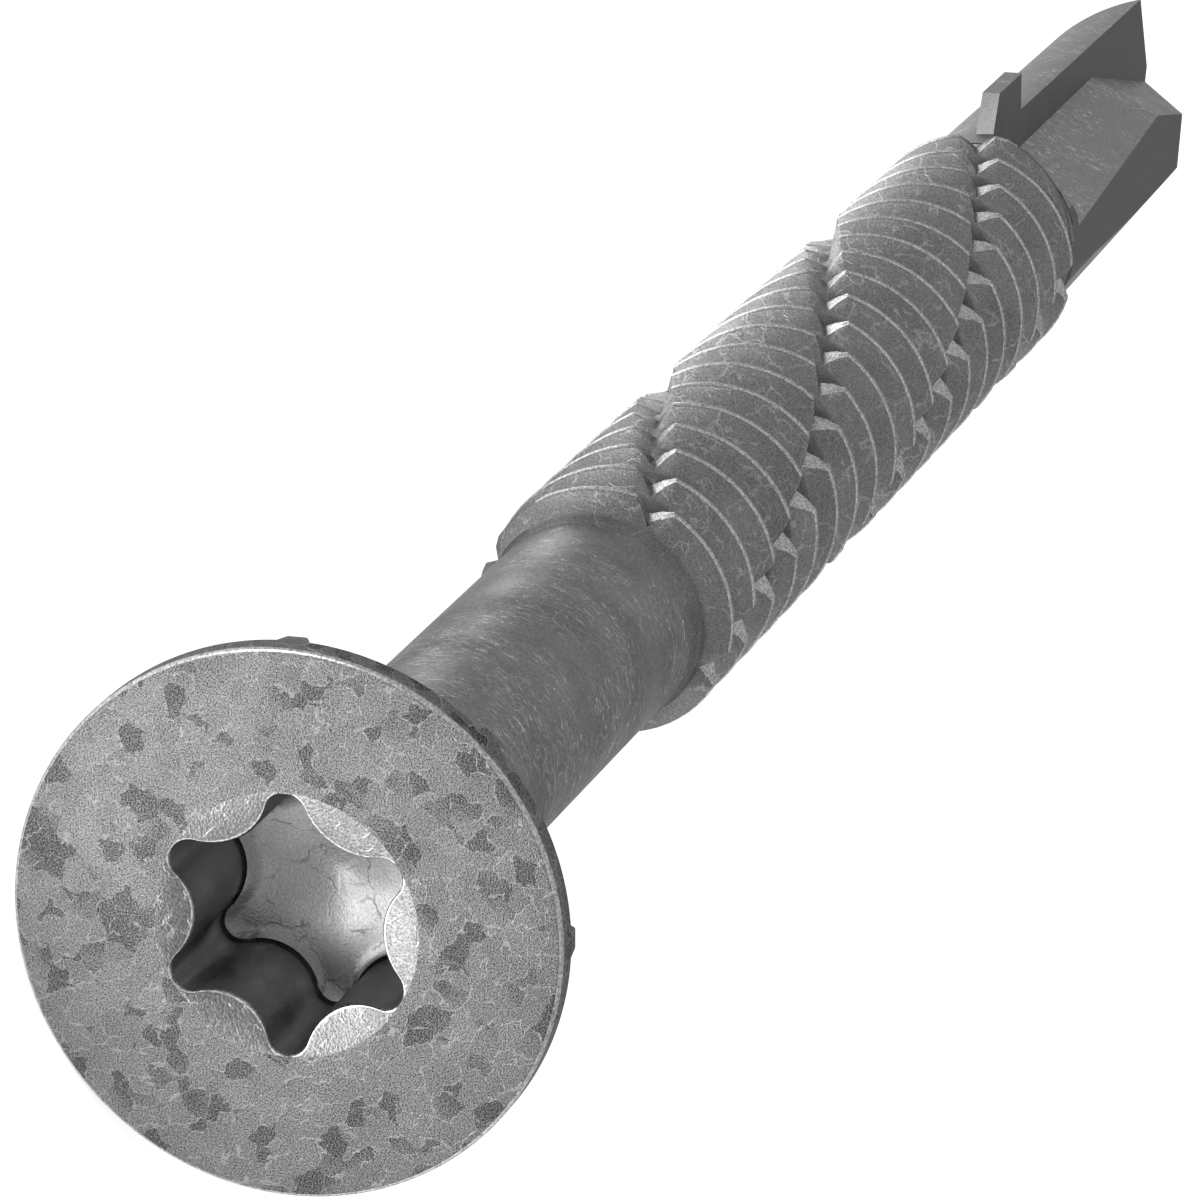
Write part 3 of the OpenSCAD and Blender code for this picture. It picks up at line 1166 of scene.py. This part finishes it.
        for i in range(count - 1 - turn):
            band(grid[i, top], grid[i + 1, top], grid[i + 1 + turn, 0], grid[i + turn, 0])
        (low_in, low_up), (high_in, high_up) = self.low_neck, self.high_neck
        low = ring(first, s.root_r - self.seam, s.shank_end + self.seam)
        low_neck = ring(first, s.shank_r - low_in, s.shank_end - low_up)
        high = ring(last, s.drill_r - self.seam, s.drill_start - self.seam)
        high_neck = ring(last, s.drill_r - high_in, s.drill_start + high_up)
        for i in range(turn - 1):
            band(low[i], low[i + 1], grid[i + 1, 0], grid[i, 0])
            back = count - turn + i
            band(grid[back, top], grid[back + 1, top], high[(i + 2) % turn], high[i + 1])
        for i in range(turn):
            after = (i + 1) % turn
            band(low_neck[i], low_neck[after], low[after], low[i])
            band(high[i], high[after], high_neck[after], high_neck[i])
        starting = [grid[0, j] for j in range(top + 1)]
        ending = [grid[count - 1, j] for j in range(top, -1, -1)]
        back = count - turn
        band(low[turn - 1], low[0], *starting, grid[turn, 0], grid[turn - 1, 0])
        band(grid[back - 1, top], grid[back, top], high[1], high[0], *ending)
        band(*low_neck)
        band(*reversed(high_neck))
        bmesh.update_edit_mesh(piece.data)
        bpy.ops.mesh.select_all(action="SELECT")
        bpy.ops.mesh.normals_make_consistent(inside=False)
        bpy.ops.object.mode_set(mode="OBJECT")
        Bench.smooth(piece, self.smooth_angle)
        return piece


@dataclass
class DrillPoint:
    """The drill body with its flutes, end faces, side flats and wings."""

    sizes: ScrewSizes
    steps: int = 160
    floor: float = 1.475
    turn: float = 26.6
    full_z: float = 60.7
    ramp: float = 50.0
    point_cut_z: float = 72.75
    point_cut_slope: float = 12.3
    side_flat: float = 2.62
    side_slope: float = 2.51
    point_slope: float = 0.45
    relief_slope: float = 1.6
    wing_in_r: float = 1.0
    wing_proud: float = 0.004
    front_lean: float = 1.45
    front_sunk: float = 0.65
    block_side: float = 60.0
    block_back: float = 8.0
    merge: float = 0.001
    flat_angle: float = 0.5
    sharp_angle: float = 20.0
    soft: float = 0.035
    smooth_angle: float = 9.0
    side_facing: float = 0.93
    front_facing: float = 0.6

    def finish(self, centre: Vector, normal: Vector) -> Finish:
        """The coat of a face: forged on the side faces and the wings' fronts, ground elsewhere."""
        forged = abs(normal.y) > self.side_facing or normal.z < -self.front_facing
        return Finish.FORGED if forged else Finish.GROUND

    def block(self) -> bpy.types.Object:
        """Starts a cutter.

        Returns:
            A large block around the drill, in edit mode.
        """
        Bench.clear()
        bpy.ops.mesh.primitive_cube_add(
            size=self.block_side, location=(0, 0, self.sizes.length - self.block_back)
        )
        block = bpy.context.object
        bpy.ops.object.transform_apply(location=True)
        bpy.ops.object.mode_set(mode="EDIT")
        return block

    def leaning(self, distance: float, height: float, lean: float,
                turn: float) -> tuple[Vector, Vector]:
        """A plane that faces outward at a turn and leans in towards the tip.

        Args:
            distance: the plane's distance from the axis at the height.
            height: where that distance holds.
            lean: degrees by which the plane leans in.
            turn: the direction that it faces, in degrees from the wing.

        Returns:
            A point of the plane and its outward normal.
        """
        around = Matrix.Rotation(math.radians(turn), 3, "Z")
        normal = around @ Vector((math.cos(math.radians(lean)), 0, math.sin(math.radians(lean))))
        return around @ Vector((distance, 0, height)), normal

    def cutter(self, slopes: tuple[tuple[float, float], ...], half: int) -> bpy.types.Object:
        """The block that mills one flute behind its cutting face.

        Args:
            slopes: the planes of the flute's floor, each by its height and its lean.
            half: 0 for the first flute and 1 for the one opposite.

        Returns:
            The cutter.
        """
        block = self.block()
        for height, lean in slopes:
            point, normal = self.leaning(self.floor, height, lean, self.turn)
            Bench.bisect(point, -normal)
        Bench.bisect(Vector((0, self.sizes.rake, 0)), Vector((0, -1, 0)))
        bpy.ops.object.mode_set(mode="OBJECT")
        block.data.transform(Matrix.Rotation(math.pi * half, 4, "Z"))
        return block

    def wing(self, half: int) -> bpy.types.Object:
        """One wing, thin and flush with the cutting face.

        Args:
            half: 0 for the first wing and 1 for the one opposite.

        Returns:
            The wing.
        """
        s = self.sizes
        Bench.clear()
        bpy.ops.mesh.primitive_cube_add(size=1)
        wing = bpy.context.object
        for vert in wing.data.vertices:
            out, back, near = vert.co.x > 0, vert.co.z > 0, vert.co.y > 0
            front = s.wing_foot + (s.wing_lean * self.front_lean if out else -self.front_sunk)
            vert.co = Vector((
                s.wing_r if out else self.wing_in_r,
                s.rake + self.wing_proud if near else s.rake - s.wing_t,
                s.wing_back if back else front,
            ))
        wing.data.transform(Matrix.Rotation(math.pi * half, 4, "Z"))
        return wing

    def build(self) -> bpy.types.Object:
        """Makes the drill point.

        Returns:
            The drill point, upright.
        """
        s = self.sizes
        Bench.clear()
        bpy.ops.mesh.primitive_cone_add(
            vertices=self.steps, radius1=s.drill_r, radius2=s.drill_tip_r, depth=s.drill_cone_l,
            location=(0, 0, s.drill_start + s.drill_cone_l / 2),
        )
        drill = bpy.context.object
        drill.name = "drill_point"
        bpy.ops.object.transform_apply(location=True)
        for half in (0, 1):
            Bench.combine(drill, self.wing(half), "UNION")
        long_part = ((self.full_z, 0.0), (self.full_z, self.ramp))
        end_part = ((self.point_cut_z, self.point_cut_slope),)
        for half in (0, 1):
            Bench.combine(drill, self.cutter(long_part, half), "DIFFERENCE")
            Bench.combine(drill, self.cutter(end_part, half), "DIFFERENCE")
        Bench.pick(drill)
        bpy.ops.object.mode_set(mode="EDIT")
        for half in (0, 1):
            side = 90 + 180 * half
            Bench.bisect(*self.leaning(self.side_flat, s.drill_start, self.side_slope, side))
            sign = 1 - 2 * half
            end = Vector((sign * self.point_slope, -sign * self.relief_slope, 1)).normalized()
            Bench.bisect(Vector((0, 0, s.length)), end)
        bpy.ops.mesh.select_all(action="SELECT")
        bpy.ops.mesh.remove_doubles(threshold=self.merge)
        bpy.ops.mesh.dissolve_limited(angle_limit=math.radians(self.flat_angle))
        bpy.ops.mesh.normals_make_consistent(inside=False)
        bpy.ops.object.mode_set(mode="OBJECT")
        Bench.wear(drill, self.soft, self.sharp_angle)
        Bench.smooth(drill, self.smooth_angle)
        return drill


@dataclass(frozen=True)
class Pool:
    """A brighter or darker patch of the floor that only the bare metal mirrors, in metres."""

    glow: float
    middle: tuple[float, float]
    full_r: float
    end_r: float
    stretch: float = 1.0

    def shine(self, wire: Wiring, place: Socket) -> Socket:
        """How much of the patch's glow a place on the floor has, from 0 to 1.

        Args:
            wire: the floor material's nodes.
            place: the place on the floor.

        Returns:
            The share.
        """
        drawn = wire.node("VectorMath", {
            0: place, 1: (1 / self.stretch, 1, 1),
        }, operation="MULTIPLY").outputs["Vector"]
        away = wire.node("VectorMath", {
            0: drawn, 1: (self.middle[0] / self.stretch, self.middle[1], 0),
        }, operation="DISTANCE").outputs["Value"]
        return wire.between(away, self.full_r, self.end_r, 1.0, 0.0)


@dataclass(frozen=True)
class Lamp:
    """A soft square lamp that faces the screw, in metres and watts.

    Its direction from the screw is told as right, up and back in the picture.
    """

    name: str
    seen: tuple[float, float, float]
    away: float
    size: float
    power: float

    def hang(self, turn: Matrix) -> bpy.types.Object:
        """Hangs the lamp.

        Args:
            turn: how the camera is turned.

        Returns:
            The lamp.
        """
        data = bpy.data.lights.new(self.name, "AREA")
        data.size = self.size
        data.energy = self.power
        lamp = bpy.data.objects.new(self.name, data)
        bpy.context.scene.collection.objects.link(lamp)
        lamp.location = (turn @ Vector(self.seen)).normalized() * self.away
        lamp.rotation_euler = (-lamp.location).to_track_quat("-Z", "Y").to_euler()
        return lamp


@dataclass
class Studio:
    """The pale floor, the lamp, the sky and the camera."""

    rest: Matrix
    view: Viewpoint = field(default_factory=Viewpoint)
    floor_side: float = 0.9
    floor_shade: float = 0.9
    floor_rough: float = 0.9
    white: float = 0.72
    floor_glow: float = 0.6
    pools: tuple[Pool, ...] = (
        Pool(-0.45, (-0.16, -0.02), 0.04, 0.055, 2.0),
        Pool(4.0, (-0.05, 0.0022), 0.003, 0.007),
        Pool(2.4, (0.013, 0.014), 0.006, 0.012, 2.2),
    )
    key: Lamp = Lamp("key", (-0.45, 0.65, 0.61), 0.5, 0.2, 0.75)
    sky: float = 0.55
    near: float = 0.01

    def floor(self) -> bpy.types.Object:
        """The plain pale floor that the screw lies on.

        Returns:
            The floor.
        """
        Bench.clear()
        bpy.ops.mesh.primitive_plane_add(size=self.floor_side, location=(0, 0, 0))
        floor = bpy.context.object
        floor.name = "floor"
        material = bpy.data.materials.new("pale floor")
        wire = Wiring(material)
        path = wire.node("LightPath").outputs
        place = wire.node("TexCoord").outputs["Object"]
        patches = [(pool.shine(wire, place), pool.glow) for pool in self.pools]
        mirrored = wire.both(path["Is Glossy Ray"], wire.total(self.floor_glow, patches))
        shade = self.floor_shade
        wire.feed(wire.tree.nodes["Principled BSDF"], {
            "Base Color": (shade, shade, shade, 1), "Roughness": self.floor_rough,
            "Specular IOR Level": 0.0, "Emission Color": (1, 1, 1, 1),
            "Emission Strength": wire.total(
                0.0, [(path["Is Camera Ray"], self.white), (mirrored, 1.0)]
            ),
        })
        floor.data.materials.append(material)
        return floor

    def camera(self) -> bpy.types.Object:
        """The camera at the photograph's viewing angle.

        Returns:
            The camera.
        """
        data = bpy.data.cameras.new("camera")
        data.sensor_width = self.view.sensor
        data.lens = self.view.lens
        data.clip_start = self.near
        camera = bpy.data.objects.new("camera", data)
        bpy.context.scene.collection.objects.link(camera)
        camera.matrix_world = self.view.matrix(self.rest)
        bpy.context.scene.camera = camera
        return camera

    def build(self) -> None:
        """Sets up the floor, the camera, the lamp and the sky."""
        scene = bpy.context.scene
        scene.view_settings.view_transform = "Standard"
        self.floor()
        self.camera()
        self.key.hang(self.view.matrix(self.rest).to_3x3())
        world = bpy.data.worlds.new("studio")
        world.use_nodes = True
        scene.world = world
        sky = world.node_tree.nodes["Background"]
        sky.inputs["Color"].default_value = (1, 1, 1, 1)
        sky.inputs["Strength"].default_value = self.sky


def main() -> None:
    """Builds the screw's pieces in order and sets up the studio."""
    logging.basicConfig(level=logging.INFO, format="%(name)s: %(message)s")
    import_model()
    sizes = ScrewSizes()
    rest = Rest(sizes).matrix()
    coater = Coater(rest)
    head, thread, point = Head(sizes), Thread(sizes), DrillPoint(sizes)
    body, ribs = head.build()
    coater.coat(body, head.finish)
    coater.coat(ribs, lambda centre, normal: Finish.SPANGLED)
    turns = thread.build()
    coater.coat(turns, thread.finish)
    drill = point.build()
    coater.coat(drill, point.finish)
    for piece in (body, ribs, turns, drill):
        Bench.lay(piece, rest)
    Studio(rest).build()


if __name__ == "__main__":
    main()
